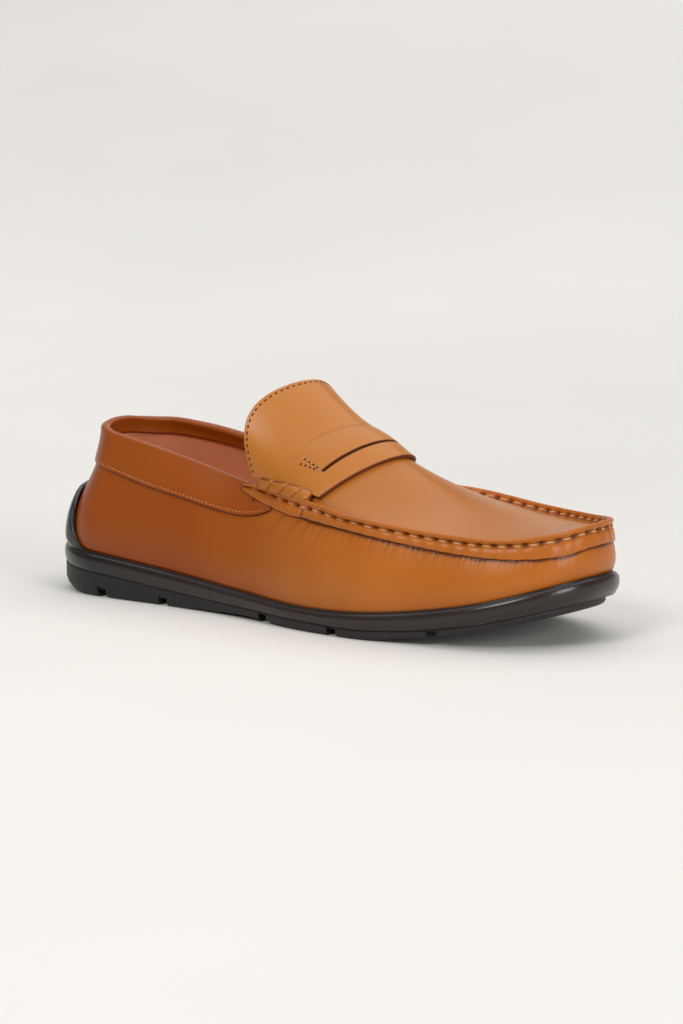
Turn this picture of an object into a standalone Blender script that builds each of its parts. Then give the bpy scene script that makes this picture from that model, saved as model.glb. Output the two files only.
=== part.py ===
# Driving shoe for the right foot: a hand-sewn moccasin upper on a low rubber cup sole.
# Sizes are in millimetres. X runs from heel to toe, Y to the inner (medial) side, Z up.

import math

import bmesh
import bpy
import numpy as np

MM = 0.001
UP = np.array((0.0, 0.0, 1.0))

# Driving sizes
LAST_LENGTH = 281.0  # heel to toe along the feather line, where the upper meets the sole
WALL_THICKNESS = 2.0  # leather with its lining
FIT_GAP = 0.3  # clearance between pieces that are glued or sewn together
TOE_CAP = 0.72  # share of the length where the outline starts to close round the toe
TOE_POWER = 2.35  # roundness of the toe outline, 2 is an ellipse
HEEL_CAP = 0.117  # share of the length where the outline starts to close round the heel
TOE_TRIM = 2.6  # how much blunter the tip is than the rest of the outline's spacing
TOE_TRIM_START = 0.8  # share of the length where that starts

STATION_STEP = 0.025  # outline share between two sections
FINE_SPAN = (0.45, 0.575)  # outline shares beside the throat with sections twice as close
SLOPE_STEP = 0.004  # outline share over which slopes are measured
SHARP_ANGLE = math.radians(40)
WALL_ROWS = 7  # faces from the feather line to the top line
WALL_HANDLE = 0.36  # reach of the wall's curve handles, as a share of its height
THROAT = 0.55  # outline share where the apron ends and the collar begins
APRON_COLUMNS = 16
APRON_CAP = 0.2  # outline share of the last straight row before the toe
CAP_ROWS = 3
TOE_APRON_SLOPE = -0.07  # the apron falls a little behind the toe's high seam

RIM_LIP = 0.9  # height of the cup's edge up the upper
CUP_LIP_THICKNESS = 1.6
CUP_TAB_THICKNESS = 3.6
CUP_TAB_SHARE = 0.3  # height share from which the tab has its full thickness
CUP_EDGE_THINNING = 0.35  # share of the thickness lost at the edge
CUP_ROWS = (0.35, 0.7, 1.0)  # from the feather line to the edge
CUP_GAP = 0.6

INSOLE_THICKNESS = 3.0
INSOLE_INSET = 2.6
SEAM_END = 0.575  # the sewn ridge runs a little past the throat
SEAM_LIP_THICKNESS = 1.6
SEAM_SWELL = 1.9  # fullest place of the turned edge
SEAM_SWELL_DROP = 1.0
SEAM_FOOT = 1.6  # width of the ridge's foot on the apron
RIDGE_HEIGHT = 4.0
RIDGE_THICKNESS = 1.8
RIDGE_LEAN = (0.35, 0.9)  # the ridge stands between the wall's and the apron's normals
COLLAR_THICKNESS = 1.2
SADDLE_THICKNESS = 1.6
SADDLE_GAP = 0.5
SADDLE_CLEARANCE = 6.8  # from the seam to the saddle's side
SADDLE_FRONT = 0.471  # strap's front edge, as an outline share
SLOT_PLACE = 0.492
SLOT_HALF = 0.0016  # half the slot's width, as an outline share
SLOT_COLUMNS = (2, 14)
ROLL_SPAN = (0.473, 0.546)
ROLL_LOBES = 4
ROLL_STEPS = 6  # sections for each lobe
ROLL_LOW = 1.2  # height between two lobes
ROLL_SWELL = 1.2  # extra height of a lobe
ROLL_FULLNESS = 0.6
GROOVE_WIDTH = 5.0
GROOVE_DEPTH = 3.0
GROOVE_ROOF = 0.9  # rubber left above a groove
GROOVE_PLACES = (37.5, 73.0, 135.0, 176.5, 225.0)  # from the heel

TAN = (0.45, 0.19, 0.06)
SADDLE_BROWN = (0.33, 0.12, 0.03)
COLLAR_BROWN = (0.35, 0.13, 0.035)
LINING_BROWN = (0.25, 0.11, 0.06)
CUP_BLACK = (0.03, 0.026, 0.025)
TREAD_BLACK = (0.018, 0.015, 0.014)


def table(names, *rows):
    return {name: np.array(column) for name, column in zip(names, zip(*rows))}


# Sections along the length, as a share of it from the heel
LAST = table(
    ("at", "half_width", "centre", "feather_z", "rim_z", "tread_z"),
    (0.00, 36.3, 0.0, 22.1, 13.5, 0.0),
    (0.14, 35.4, -1.3, 18.7, 10.7, 0.0),
    (0.28, 35.0, -1.3, 14.9, 7.2, 0.0),
    (0.43, 37.8, -2.3, 11.3, 5.0, 1.4),
    (0.565, 44.5, -2.4, 9.6, 4.3, 0.0),
    (0.675, 48.7, 0.4, 10.8, 4.2, 0.0),
    (0.773, 47.1, 2.4, 14.0, 6.4, 3.0),
    (0.88, 45.1, 1.1, 20.0, 11.8, 8.6),
    (1.00, 41.3, -1.0, 29.8, 20.6, 17.2),
)

# Wall sections around the outline, 0 at the toe and 1 at the back of the heel.
# The seam and collar line is set by its height, its inset and its extra height on the inner
# side. Flare and tuck are the wall's angles from upright at its foot and its top.
WALL = table(
    ("at", "top_z", "inset", "medial_rise", "flare", "tuck"),
    (0.000, 48.4, 1.0, 0.0, 30.0, 18.0),
    (0.030, 48.2, 1.0, 0.3, 30.0, 18.0),
    (0.100, 45.9, 1.5, 1.5, 27.0, 18.0),
    (0.200, 43.3, 3.9, 2.2, 18.0, 22.0),
    (0.300, 44.1, 5.2, 1.8, 12.0, 24.0),
    (0.400, 48.2, 5.9, 2.2, 8.0, 24.0),
    (0.500, 51.9, 10.5, 3.3, 6.0, 30.0),
    (0.575, 57.0, 14.3, 4.7, 6.0, 32.0),
    (0.650, 64.8, 11.4, 5.2, 6.0, 25.0),
    (0.750, 71.8, 11.5, 3.0, 8.0, 12.0),
    (0.850, 74.7, 13.5, 0.5, 12.0, 2.0),
    (0.930, 75.8, 14.8, 0.0, 15.0, -4.0),
    (0.970, 76.4, 15.4, 0.0, 16.0, -4.0),
    (1.000, 76.5, 15.5, 0.0, 16.0, -4.0),
)

# Apron rows from the toe to the throat. Rise is the crown over the seam line, bow is how far
# the crown runs ahead of the row's ends, peak sharpens the bow, shoulder pulls the tongue's
# sides back, turn carries its inner side forward, and handle is 1/3 for a low arch, 0 for one
# with upright sides and less for one that spreads.
APRON = table(
    ("at", "rise", "bow", "peak", "shoulder", "turn", "handle"),
    (0.200, 3.0, 2.3, 1.0, 0.0, 0.0, 0.33),
    (0.300, 4.5, 8.6, 1.0, 0.0, 0.0, 0.33),
    (0.400, 9.2, 18.0, 1.0, 0.0, 0.0, 0.33),
    (0.450, 15.4, 22.4, 1.0, 0.0, 0.6, 0.33),
    (0.475, 19.5, 23.0, 1.0, 0.0, 2.0, 0.32),
    (0.500, 25.0, 21.0, 1.1, 0.5, 3.5, 0.15),
    (0.525, 30.0, 16.5, 1.1, 5.0, 5.0, -0.10),
    (0.550, 43.2, 5.2, 2.4, 3.5, 6.5, -0.35),
)

# Height of the cup's heel tab, as a share of the wall's height
HEEL_TAB = table(
    ("at", "share"),
    (0.813, 0.00),
    (0.838, 0.09),
    (0.864, 0.31),
    (0.890, 0.39),
    (0.945, 0.43),
    (1.000, 0.44),
)

# Sole sections around the outline: how far the cup's rim and the tread's side stand out from
# the feather line, and the tread's rounded lower edge
SOLE = table(
    ("at", "rim_out", "side_out", "edge_in", "edge_up"),
    (0.00, 3.4, -3.2, 3.0, 1.6),
    (0.12, 3.4, -2.0, 3.0, 1.6),
    (0.25, 3.4, 1.6, 2.4, 1.6),
    (0.50, 3.4, 2.2, 2.0, 1.4),
    (0.75, 3.6, 2.6, 3.0, 2.4),
    (0.90, 4.8, 4.2, 8.0, 7.0),
    (1.00, 5.2, 4.8, 10.0, 9.0),
)

# Edges of the collar band, as distances down from the top line. Its front runs under the seam.
COLLAR = table(
    ("at", "upper_edge", "lower_edge"),
    (0.526, 5.2, 6.6),
    (0.538, 5.0, 9.7),
    (0.557, 5.0, 12.9),
    (0.575, 5.0, 14.5),
    (0.600, 0.0, 15.6),
    (0.625, 0.0, 16.2),
    (0.685, 0.0, 17.0),
    (0.800, 0.0, 15.4),
    (1.000, 0.0, 16.0),
)

# The sewn seam round the apron: its turned edge below the stitch line, and at its ends how it
# thins out and runs down from the top line
SEAM = table(
    ("at", "lip", "size", "drop"),
    (0.000, 5.2, 1.00, 0.0),
    (0.090, 5.8, 1.00, 0.0),
    (0.180, 5.2, 1.00, 0.0),
    (0.280, 4.3, 1.00, 0.0),
    (0.400, 3.6, 1.00, 0.0),
    (0.525, 3.6, 1.00, 0.0),
    (0.540, 3.6, 1.00, 0.0),
    (0.575, 3.6, 0.45, 2.0),
)

# Profile of the cup's rim, from the feather line down to the tread, as shares
RIM_PROFILE = table(
    ("out", "drop"),
    (0.90, 0.06),
    (1.00, 0.30),
    (0.97, 0.70),
    (0.60, 1.00),
)

# Rounding of the tread's lower edge, as shares
TREAD_EDGE = table(
    ("inset", "up"),
    (0.0, 1.0),
    (0.3, 0.3),
    (1.0, 0.0),
)

# Section of the wrapped rolls: distance from the seam over the apron, and share of the height
ROLL_PROFILE = table(
    ("reach", "rise"),
    (2.4, 0.0),
    (2.6, 0.6),
    (3.6, 1.0),
    (5.0, 1.0),
    (6.0, 0.6),
    (6.3, 0.0),
)


def follow(sections, column, at):
    """Smooth curve through a table's column."""
    keys = sections["at"]
    values = sections[column]
    at = min(max(at, keys[0]), keys[-1])
    slopes = np.gradient(values, keys)
    i = min(int(np.searchsorted(keys, at, side="right")) - 1, len(keys) - 2)
    span = keys[i + 1] - keys[i]
    s = (at - keys[i]) / span
    start = values[i] * (1 + 2 * s) * (1 - s) ** 2 + slopes[i] * span * s * (1 - s) ** 2
    end = values[i + 1] * s * s * (3 - 2 * s) + slopes[i + 1] * span * s * s * (s - 1)
    return float(start + end)


def unit(vector):
    return vector / np.linalg.norm(vector)


def bezier(a, b, c, d, s):
    r = 1 - s
    return a * r**3 + 3 * b * r * r * s + 3 * c * r * s * s + d * s**3


def length_share(u):
    """Place along the length for an outline share from -1 to 1, lateral side negative."""
    return (1 + math.cos(math.pi * u)) / 2


def half_width(t):
    heel = max(0.0, (HEEL_CAP - t) / HEEL_CAP)
    toe = max(0.0, (t - TOE_CAP) / (1 - TOE_CAP))
    closing = math.sqrt(max(0.0, 1 - heel**2)) * max(0.0, 1 - toe**TOE_POWER) ** (1 / TOE_POWER)
    return follow(LAST, "half_width", t) * closing


def feather(u):
    t = length_share(u)
    side = math.copysign(half_width(t), u)
    trim = TOE_TRIM * (max(0.0, t - TOE_TRIM_START) / (1 - TOE_TRIM_START)) ** 2
    x = LAST_LENGTH * t - trim
    return np.array((x, follow(LAST, "centre", t) + side, follow(LAST, "feather_z", t)))


def around(u):
    """Outline share brought back between -1 and 1."""
    return (u + 1) % 2 - 1


def outward(u):
    run = feather(around(u + SLOPE_STEP)) - feather(around(u - SLOPE_STEP))
    return unit(np.array((run[1], -run[0], 0.0)))


def top_line(u):
    """Seam line round the apron and collar edge round the heel."""
    a = abs(u)
    point = feather(u) - outward(u) * follow(WALL, "inset", a)
    point[2] = follow(WALL, "top_z", a)
    if u > 0:
        point[2] += follow(WALL, "medial_rise", a)
    return point


def wall_point(u, v):
    foot = feather(u)
    head = top_line(u)
    out = outward(u)
    reach = WALL_HANDLE * np.linalg.norm(head - foot)
    flare = math.radians(follow(WALL, "flare", abs(u)))
    tuck = math.radians(follow(WALL, "tuck", abs(u)))
    low = foot + reach * (UP * math.cos(flare) + out * math.sin(flare))
    high = head + reach * (out * math.sin(tuck) - UP * math.cos(tuck))
    return bezier(foot, low, high, head, v)


def wall(u, v, lift=0.0):
    """Outer side of the upper's wall, at a height share v, lifted off by lift."""
    run = wall_point(around(u + SLOPE_STEP), v) - wall_point(around(u - SLOPE_STEP), v)
    rising = wall_point(u, v + SLOPE_STEP) - wall_point(u, v - SLOPE_STEP)
    return wall_point(u, v) + lift * unit(np.cross(run, rising))


def apron_point(u, w):
    lateral = top_line(-u)
    medial = top_line(u)
    handle = follow(APRON, "handle", u) * (medial - lateral)
    lift = UP * follow(APRON, "rise", u) * 4 / 3
    point = bezier(lateral, lateral + handle + lift, medial - handle + lift, medial, w)
    crown = max(0.0, math.sin(math.pi * w)) ** follow(APRON, "peak", u)
    point[0] += follow(APRON, "bow", u) * crown
    point[0] -= follow(APRON, "shoulder", u) * math.sin(2 * math.pi * w) ** 2
    point[0] -= follow(APRON, "turn", u) * math.sin(2 * math.pi * w)
    return point


def apron(u, w, lift=0.0):
    """Outer side of the apron and tongue, w from 0 on the lateral to 1 on the medial seam."""
    across = apron_point(u, w + SLOPE_STEP) - apron_point(u, w - SLOPE_STEP)
    back = apron_point(u + SLOPE_STEP, w) - apron_point(u - SLOPE_STEP, w)
    return apron_point(u, w) + lift * unit(np.cross(across, back))


def seam_frame(u):
    """Corner between wall and apron: its point, both slopes leaving it, and both normals."""
    corner = top_line(u)
    run = unit(top_line(u + SLOPE_STEP) - top_line(u - SLOPE_STEP))
    down = unit(wall_point(u, 1 - SLOPE_STEP) - corner)
    row = min(max(abs(u), APRON_CAP), THROAT)
    near, inner = (0.0, 1.0) if u < 0 else (1.0, -1.0)
    leaving = unit(apron_point(row, near + inner * SLOPE_STEP) - apron_point(row, near))
    past_toe = min(1.0, abs(u) / APRON_CAP) ** 2
    across = 1 + (inner * leaving[1] - 1) * past_toe
    rise = TOE_APRON_SLOPE + (leaving[2] - TOE_APRON_SLOPE) * past_toe
    inward = unit(UP * rise - outward(u) * across)
    return corner, down, inward, unit(np.cross(run, -down)), unit(np.cross(run, inward))


def new_mesh(name, bm):
    """Makes the object of a finished bmesh drawn in millimetres."""
    bmesh.ops.scale(bm, vec=(MM, MM, MM), verts=bm.verts)
    mesh = bpy.data.meshes.new(name)
    bm.to_mesh(mesh)
    bm.free()
    mesh.shade_smooth()
    mesh.set_sharp_from_angle(angle=SHARP_ANGLE)
    shape = bpy.data.objects.new(name, mesh)
    return shape


def add_row(bm, points):
    return [bm.verts.new(point) for point in points]


def skin(bm, rows, closed):
    """Faces between rows of vertices. Closed rows join their last vertex to their first."""
    for low, high in zip(rows, rows[1:]):
        count = len(low) if closed else len(low) - 1
        for i in range(count):
            j = (i + 1) % len(low)
            bm.faces.new((low[i], low[j], high[j], high[i]))


def cap_across(bm, ring):
    """Closes a ring round the outline with strips from its lateral to its medial side."""
    n = len(ring)
    for i in range(n // 2):
        strip = (ring[i], ring[i + 1], ring[n - i - 1], ring[(n - i) % n])
        bm.faces.new(tuple(dict.fromkeys(strip)))


def solid_from_rings(name, rings):
    """Closed solid between rings round the outline, the first and the last one capped."""
    bm = bmesh.new()
    rows = [add_row(bm, ring) for ring in rings]
    skin(bm, rows, closed=True)
    cap_across(bm, rows[0])
    cap_across(bm, rows[-1])
    bmesh.ops.recalc_face_normals(bm, faces=bm.faces)
    return new_mesh(name, bm)


def solid_from_sections(name, sections):
    """Closed bar through a run of closed sections, with flat ends."""
    bm = bmesh.new()
    rows = [add_row(bm, section) for section in sections]
    skin(bm, rows, closed=True)
    bm.faces.new(rows[0])
    bm.faces.new(rows[-1])
    bmesh.ops.recalc_face_normals(bm, faces=bm.faces)
    return new_mesh(name, bm)


def thicken(shape, thickness, offset):
    """Gives an open surface its thickness, inwards for -1 and outwards for 1."""
    solid = shape.modifiers.new("thickness", "SOLIDIFY")
    solid.thickness = thickness * MM
    solid.offset = offset
    solid.use_even_offset = True
    solid.use_quality_normals = True


def stations_between(first, last):
    """Outline shares of the sections, closer together beside the throat."""
    fine = STATION_STEP / 2
    shares = []
    for i in range(round(first / fine), round(last / fine) + 1):
        u = i * fine
        if i % 2 == 0 or FINE_SPAN[0] < abs(u) < FINE_SPAN[1]:
            shares.append(u)
    return shares


def outline_shares():
    """Stations from the back of the heel along the lateral side to the toe and back."""
    return stations_between(-1.0, 1.0)[:-1]


def station_key(u):
    return round(2 * u / STATION_STEP)


def make_upper():
    bm = bmesh.new()
    shares = outline_shares()
    rows = [add_row(bm, [wall_point(u, j / WALL_ROWS) for u in shares]) for j in range(WALL_ROWS + 1)]
    skin(bm, rows, closed=True)
    seam = {station_key(u): vertex for u, vertex in zip(shares, rows[-1])}

    # The rounded front of the apron, between the toe's arc and the first straight row
    columns = [j / APRON_COLUMNS for j in range(APRON_COLUMNS + 1)]
    arc = [top_line(APRON_CAP * (2 * w - 1)) for w in columns]
    edge = [apron_point(APRON_CAP, w) for w in columns]
    apron_rows = [[seam[station_key(APRON_CAP * (2 * w - 1))] for w in columns]]
    ends = (apron_rows[0][0], apron_rows[0][-1])
    for k in range(1, CAP_ROWS + 1):
        s = k / CAP_ROWS
        inner = add_row(bm, [(1 - s) * arc[j] + s * edge[j] for j in range(1, APRON_COLUMNS)])
        apron_rows.append([ends[0], *inner, ends[1]])
    for u in stations_between(APRON_CAP, THROAT)[1:]:
        key = station_key(u)
        inner = add_row(bm, [apron_point(u, w) for w in columns[1:-1]])
        apron_rows.append([seam[-key], *inner, seam[key]])
    for low, high in zip(apron_rows, apron_rows[1:]):
        for j in range(APRON_COLUMNS):
            corners = (low[j], low[j + 1], high[j + 1], high[j])
            bm.faces.new(tuple(dict.fromkeys(corners)))
    upper = new_mesh("upper", bm)
    thicken(upper, WALL_THICKNESS, -1)
    return upper


def make_insole():
    inset = WALL_THICKNESS + INSOLE_INSET
    rings = []
    for height in (0.0, INSOLE_THICKNESS):
        rings.append([feather(u) - outward(u) * inset + UP * height for u in outline_shares()])
    return solid_from_rings("insole", rings)


def rim_height(x):
    """Height of the joint between cup and tread."""
    return follow(LAST, "rim_z", x / LAST_LENGTH)


def cup_share(u):
    lip = RIM_LIP / np.linalg.norm(top_line(u) - feather(u))
    return lip + follow(HEEL_TAB, "share", abs(u))


def make_sole_cup():
    """Rubber cup with a rounded rim, turned up behind the heel as a tab."""
    shares = outline_shares()
    rings = [[feather(u) + outward(u) * CUP_GAP - UP * FIT_GAP for u in shares]]
    for s in CUP_ROWS:
        rings.append([wall(u, s * cup_share(u), CUP_GAP) for u in shares])

    def thickness(u):
        tab = min(1.0, follow(HEEL_TAB, "share", abs(u)) / CUP_TAB_SHARE)
        return CUP_LIP_THICKNESS + (CUP_TAB_THICKNESS - CUP_LIP_THICKNESS) * tab

    for s in reversed(CUP_ROWS):
        thinned = 1 - CUP_EDGE_THINNING * s
        rings.append([wall(u, s * cup_share(u), CUP_GAP + thinned * thickness(u)) for u in shares])

    for out_share, drop_share in zip(RIM_PROFILE["out"], RIM_PROFILE["drop"]):
        ring = []
        for u in shares:
            point = feather(u) + outward(u) * follow(SOLE, "rim_out", abs(u)) * out_share
            point[2] -= drop_share * (point[2] - rim_height(point[0]))
            ring.append(point)
        rings.append(ring)
    return solid_from_rings("sole_cup", rings)


def tread_height(x):
    return max(0.0, follow(LAST, "tread_z", x / LAST_LENGTH))


def make_outsole(cutters):
    """Tread layer under the cup, with an arch, toe spring and grooves across it."""
    shares = outline_shares()
    top = []
    for u in shares:
        point = feather(u) + outward(u) * follow(SOLE, "side_out", abs(u))
        point[2] = rim_height(point[0]) - FIT_GAP
        top.append(point)
    rings = [top]
    for in_share, up_share in zip(TREAD_EDGE["inset"], TREAD_EDGE["up"]):
        ring = []
        for u in shares:
            a = abs(u)
            out = follow(SOLE, "side_out", a) - in_share * follow(SOLE, "edge_in", a)
            point = feather(u) + outward(u) * out
            point[2] = tread_height(point[0]) + up_share * follow(SOLE, "edge_up", a)
            ring.append(point)
        rings.append(ring)
    outsole = solid_from_rings("outsole", rings)

    bm = bmesh.new()
    for place in GROOVE_PLACES:
        floor = tread_height(place)
        depth = min(GROOVE_DEPTH, rim_height(place) - FIT_GAP - GROOVE_ROOF - floor)
        made = bmesh.ops.create_cube(bm, size=1.0)["verts"]
        bmesh.ops.scale(bm, vec=(GROOVE_WIDTH, LAST_LENGTH, 2 * depth), verts=made)
        bmesh.ops.translate(bm, vec=(place, 0.0, floor), verts=made)
    grooves = new_mesh("tread_grooves", bm)
    grooves.hide_render = True
    grooves.display_type = "WIRE"
    cutters.objects.link(grooves)
    cut = outsole.modifiers.new("grooves", "BOOLEAN")
    cut.operation = "DIFFERENCE"
    cut.object = grooves
    return outsole


def make_collar():
    """Band sewn round the collar, from one end of the throat round the heel to the other."""
    bm = bmesh.new()
    front = [float(at) for at in COLLAR["at"] if at <= SEAM_END]
    side = front + stations_between(front[-1], 1.0)[1:]
    shares = side + [-u for u in reversed(side[:-1])]
    rows = []
    for s in (0.0, 0.5, 1.0):
        points = []
        for u in shares:
            height = np.linalg.norm(top_line(u) - feather(u))
            low = 1 - follow(COLLAR, "lower_edge", abs(u)) / height
            high = 1 - max(0.0, follow(COLLAR, "upper_edge", abs(u))) / height
            points.append(wall(u, low + s * (high - low), FIT_GAP))
        rows.append(add_row(bm, points))
    skin(bm, rows, closed=False)
    collar = new_mesh("collar", bm)
    thicken(collar, COLLAR_THICKNESS, 1)
    return collar


def saddle_edge(u, seam):
    """Place across the apron where the saddle's side clears the wrapped roll at one seam."""
    w = seam
    while np.linalg.norm(apron_point(u, w) - apron_point(u, seam)) < SADDLE_CLEARANCE:
        w += SLOPE_STEP if seam < 0.5 else -SLOPE_STEP
    return w


def make_saddle():
    """Strap and tongue facing in one piece over the apron, with the strap's slot."""
    bm = bmesh.new()
    rows_at = [SADDLE_FRONT, SLOT_PLACE - SLOT_HALF, SLOT_PLACE + SLOT_HALF]
    rows_at += [u for u in stations_between(SADDLE_FRONT, THROAT) if u > SLOT_PLACE + 2 * SLOT_HALF]
    rows = []
    for u in rows_at:
        columns = [saddle_edge(u, 0.0)]
        columns += [j / APRON_COLUMNS for j in range(2, APRON_COLUMNS - 1)]
        columns.append(saddle_edge(u, 1.0))
        rows.append(add_row(bm, [apron(u, w, SADDLE_GAP) for w in columns]))
    for k, (low, high) in enumerate(zip(rows, rows[1:])):
        for j in range(len(low) - 1):
            in_slot = k == 1 and SLOT_COLUMNS[0] <= j + 1 < SLOT_COLUMNS[1]
            if not in_slot:
                bm.faces.new((low[j], low[j + 1], high[j + 1], high[j]))
    saddle = new_mesh("saddle", bm)
    thicken(saddle, SADDLE_THICKNESS, 1)
    return saddle


def make_apron_seam():
    """Ridge where wall and apron are sewn edge to edge, with the wall's turned lip below."""
    sections = []
    for u in stations_between(-SEAM_END, SEAM_END):
        corner, down, inward, wall_normal, apron_normal = seam_frame(u)
        corner = corner + down * follow(SEAM, "drop", abs(u))
        size = follow(SEAM, "size", abs(u))
        lip = follow(SEAM, "lip", abs(u)) * size
        ridge = unit(RIDGE_LEAN[0] * wall_normal + RIDGE_LEAN[1] * apron_normal)
        across = unit(wall_normal - ridge * np.dot(wall_normal, ridge))
        tip = corner + ridge * RIDGE_HEIGHT * size
        half = across * RIDGE_THICKNESS / 2 * size
        sections.append((
            corner + down * lip + wall_normal * FIT_GAP,
            corner + down * lip + wall_normal * SEAM_LIP_THICKNESS * size,
            corner + down * SEAM_SWELL_DROP * size + wall_normal * SEAM_SWELL * size,
            tip + half,
            tip - half,
            corner + inward * SEAM_FOOT * size + apron_normal * FIT_GAP,
            corner + unit(wall_normal + apron_normal) * math.sqrt(2) * FIT_GAP,
        ))
    return solid_from_sections("apron_seam", sections)


def make_roll(name, side):
    """Wrapped stitches that bind the saddle's end to the seam, as a row of short rolls."""
    steps = ROLL_STEPS * ROLL_LOBES
    sections = []
    for i in range(steps + 1):
        s = i / steps
        u = side * (ROLL_SPAN[0] + s * (ROLL_SPAN[1] - ROLL_SPAN[0]))
        corner, _, inward, _, apron_normal = seam_frame(u)
        height = ROLL_LOW + ROLL_SWELL * abs(math.sin(math.pi * ROLL_LOBES * s)) ** ROLL_FULLNESS
        section = []
        for reach, rise in zip(ROLL_PROFILE["reach"], ROLL_PROFILE["rise"]):
            section.append(corner + inward * reach + apron_normal * (FIT_GAP + rise * height))
        sections.append(section)
    return solid_from_sections(name, sections)


def principled(name, colour, roughness):
    material = bpy.data.materials.new(name)
    material.use_nodes = True
    shader = material.node_tree.nodes["Principled BSDF"]
    shader.inputs["Base Color"].default_value = (*colour, 1.0)
    shader.inputs["Roughness"].default_value = roughness
    shader.inputs["Metallic"].default_value = 0.0
    return material


def stand_at_origin(parts):
    """Moves the shoe so that the middle of its box stands on the origin."""
    bpy.context.view_layer.update()
    graph = bpy.context.evaluated_depsgraph_get()
    corners = np.array([tuple(c) for part in parts for c in part.evaluated_get(graph).bound_box])
    low = corners.min(axis=0)
    high = corners.max(axis=0)
    middle = (low + high) / 2
    for shape in bpy.data.objects:
        shape.location = (-middle[0], -middle[1], -low[2])


def main():
    for old in list(bpy.data.objects):
        bpy.data.objects.remove(old, do_unlink=True)
    shoe = bpy.data.collections.new("driving_shoe")
    cutters = bpy.data.collections.new("cutters")
    bpy.context.scene.collection.children.link(shoe)
    bpy.context.scene.collection.children.link(cutters)

    made = (
        (make_outsole(cutters), principled("tread rubber", TREAD_BLACK, 0.7)),
        (make_sole_cup(), principled("cup rubber", CUP_BLACK, 0.4)),
        (make_insole(), principled("lining leather", LINING_BROWN, 0.6)),
        (make_upper(), principled("upper leather", SADDLE_BROWN, 0.4)),
        (make_collar(), principled("collar leather", COLLAR_BROWN, 0.4)),
        (make_apron_seam(), principled("seam leather", TAN, 0.45)),
        (make_saddle(), principled("saddle leather", TAN, 0.4)),
        (make_roll("beefroll_lateral", -1), principled("lateral roll leather", TAN, 0.45)),
        (make_roll("beefroll_medial", 1), principled("medial roll leather", TAN, 0.45)),
    )
    parts = []
    for part, material in made:
        part.data.materials.append(material)
        shoe.objects.link(part)
        parts.append(part)
    stand_at_origin(parts)


main()
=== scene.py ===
import math

import bmesh
import bpy
import numpy as np
from mathutils import Matrix, Vector


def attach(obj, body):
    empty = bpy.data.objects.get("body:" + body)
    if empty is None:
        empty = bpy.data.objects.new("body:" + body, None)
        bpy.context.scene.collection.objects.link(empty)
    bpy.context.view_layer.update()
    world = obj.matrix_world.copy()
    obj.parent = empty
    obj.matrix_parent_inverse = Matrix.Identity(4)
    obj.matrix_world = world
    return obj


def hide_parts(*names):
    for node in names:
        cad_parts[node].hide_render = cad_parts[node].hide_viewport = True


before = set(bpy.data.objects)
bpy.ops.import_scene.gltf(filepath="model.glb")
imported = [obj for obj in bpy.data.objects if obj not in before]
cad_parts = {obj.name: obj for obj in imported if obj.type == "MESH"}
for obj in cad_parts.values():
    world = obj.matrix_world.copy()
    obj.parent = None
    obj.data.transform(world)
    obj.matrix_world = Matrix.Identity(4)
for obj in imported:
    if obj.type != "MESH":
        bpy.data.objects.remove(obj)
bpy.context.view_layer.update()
print("frame:", len(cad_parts), "solids")

scene = bpy.context.scene
mm = 0.001
upward = np.array((0.0, 0.0, 1.0))

# The shoe's form, with the same sizes as its solids

form = {
    "length": 281.0,             # heel to toe along the feather line
    "heelEnd": (-138.3, -0.7, 0.0),  # where that line starts in the frame
    "toeCap": 0.72,
    "toePower": 2.35,
    "heelCap": 0.117,
    "toeTrim": 2.6,              # how much blunter the tip is than the outline's spacing
    "toeTrimStart": 0.8,
    "wall": 2.0,                 # leather with its lining
    "handle": 0.36,
    "throat": 0.55,
    "apronCap": 0.2,
    "toeSlope": -0.07,
    "step": 0.004,
}


def table(names, *rows):
    return {name: np.array(column) for name, column in zip(names, zip(*rows))}


# along the length, as a share from the heel
lastTable = table(
    ("at", "halfWidth", "centre", "featherZ", "rimZ", "treadZ"),
    (0.000, 36.3, 0.0, 22.1, 13.5, 0.0),
    (0.140, 35.4, -1.3, 18.7, 10.7, 0.0),
    (0.280, 35.0, -1.3, 14.9, 7.2, 0.0),
    (0.430, 37.8, -2.3, 11.3, 5.0, 1.4),
    (0.565, 44.5, -2.4, 9.6, 4.3, 0.0),
    (0.675, 48.7, 0.4, 10.8, 4.2, 0.0),
    (0.773, 47.1, 2.4, 14.0, 6.4, 3.0),
    (0.880, 45.1, 1.1, 20.0, 11.8, 8.6),
    (1.000, 41.3, -1.0, 29.8, 20.6, 17.2),
)
# round the outline, 0 at the toe and 1 at the back of the heel
wallTable = table(
    ("at", "topZ", "inset", "medialRise", "flare", "tuck"),
    (0.000, 48.4, 1.0, 0.0, 30.0, 18.0),
    (0.030, 48.2, 1.0, 0.3, 30.0, 18.0),
    (0.100, 45.9, 1.5, 1.5, 27.0, 18.0),
    (0.200, 43.3, 3.9, 2.2, 18.0, 22.0),
    (0.300, 44.1, 5.2, 1.8, 12.0, 24.0),
    (0.400, 48.2, 5.9, 2.2, 8.0, 24.0),
    (0.500, 51.9, 10.5, 3.3, 6.0, 30.0),
    (0.575, 57.0, 14.3, 4.7, 6.0, 32.0),
    (0.650, 64.8, 11.4, 5.2, 6.0, 25.0),
    (0.750, 71.8, 11.5, 3.0, 8.0, 12.0),
    (0.850, 74.7, 13.5, 0.5, 12.0, 2.0),
    (0.930, 75.8, 14.8, 0.0, 15.0, -4.0),
    (0.970, 76.4, 15.4, 0.0, 16.0, -4.0),
    (1.000, 76.5, 15.5, 0.0, 16.0, -4.0),
)
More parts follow.
